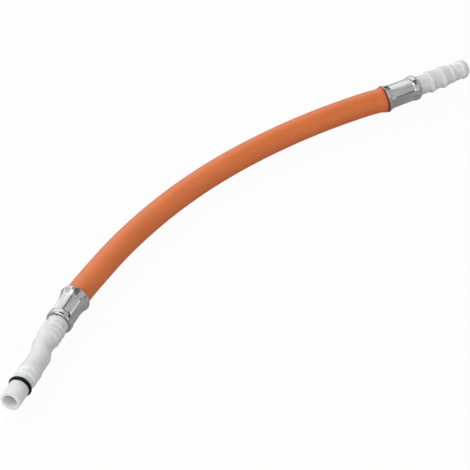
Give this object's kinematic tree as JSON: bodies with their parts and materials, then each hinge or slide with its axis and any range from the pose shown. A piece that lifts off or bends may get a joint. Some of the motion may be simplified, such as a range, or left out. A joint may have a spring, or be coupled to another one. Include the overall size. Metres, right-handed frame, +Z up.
{
  "type": "flexible hose",
  "caption": "Short curved rubber hose with plastic fittings crimped on in steel ferrules: an O-ring plug with an offset neck at one end, a stepped barbed nozzle at the other.",
  "frame": {"origin": "centre of the bottom of the bounding box, on the surface that the hose lies on", "axes": "+X along the line between the ferrules' mouths, from the plug towards the nozzle; the hose bows towards +Y; +Z up"},
  "size_m": [0.3972, 0.0832, 0.0184],
  "materials": {
    "orange_rubber": "satin orange rubber",
    "white_plastic": "satin white moulded plastic",
    "plated_steel": "bright plated steel, crimped",
    "black_rubber": "smooth black rubber"
  },
  "bodies": {
    "root": {"hose": "orange_rubber", "plug_fitting": "white_plastic", "nozzle_fitting": "white_plastic", "plug_ferrule": "plated_steel", "nozzle_ferrule": "plated_steel", "o_ring": "black_rubber"}
  },
  "joints": []
}
